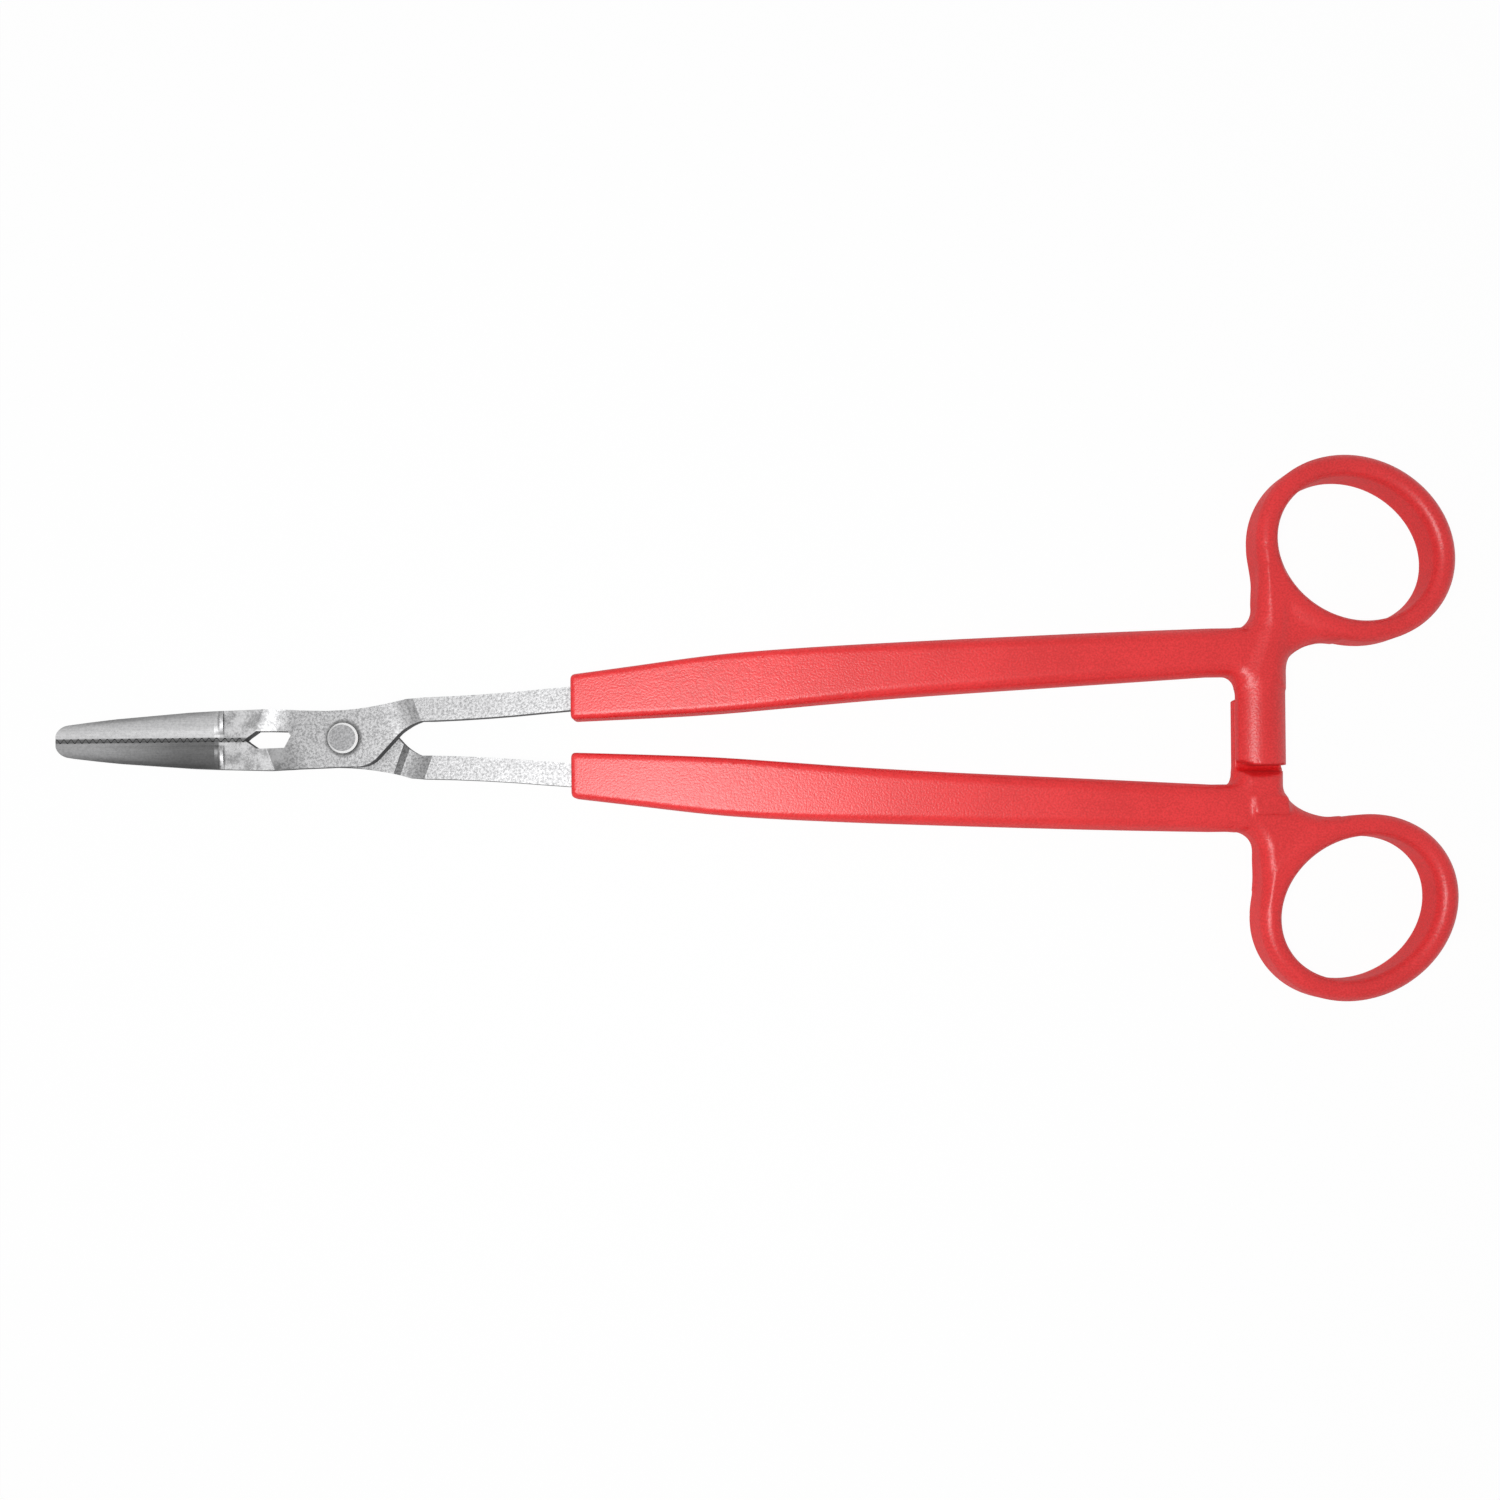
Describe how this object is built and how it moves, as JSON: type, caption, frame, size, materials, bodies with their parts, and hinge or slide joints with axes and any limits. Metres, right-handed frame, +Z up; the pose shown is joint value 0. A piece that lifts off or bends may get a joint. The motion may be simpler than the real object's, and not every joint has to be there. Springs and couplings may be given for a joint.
{
  "type": "hemostatic forceps",
  "caption": "Long locking forceps: serrated steel jaws and slim shanks crossed at a rivet, with moulded plastic handles, finger rings and ratchet arms.",
  "frame": {"origin": "middle of the underside of the closed forceps, lying flat", "axes": "+X from the jaws to the finger rings, +Y across towards the ring of the front half, +Z up through the rivet"},
  "size_m": [0.24, 0.0968, 0.008],
  "materials": {
    "steel": "satin, fine blasted grain",
    "rivet_steel": "satin with a bright turned bevel",
    "red_plastic": "matt, fine moulded grain"
  },
  "bodies": {
    "back_half": {"back_blade": "steel", "back_handle": "red_plastic", "rivet": "rivet_steel"},
    "front_half": {"front_blade": "steel", "front_handle": "red_plastic"}
  },
  "joints": [
    {"name": "jaw_hinge", "type": "hinge", "parent": "back_half", "child": "front_half", "pos_m": [-0.07036, 0, 0.004], "axis": [0, 0, 1], "range_deg": [0, 30]}
  ]
}
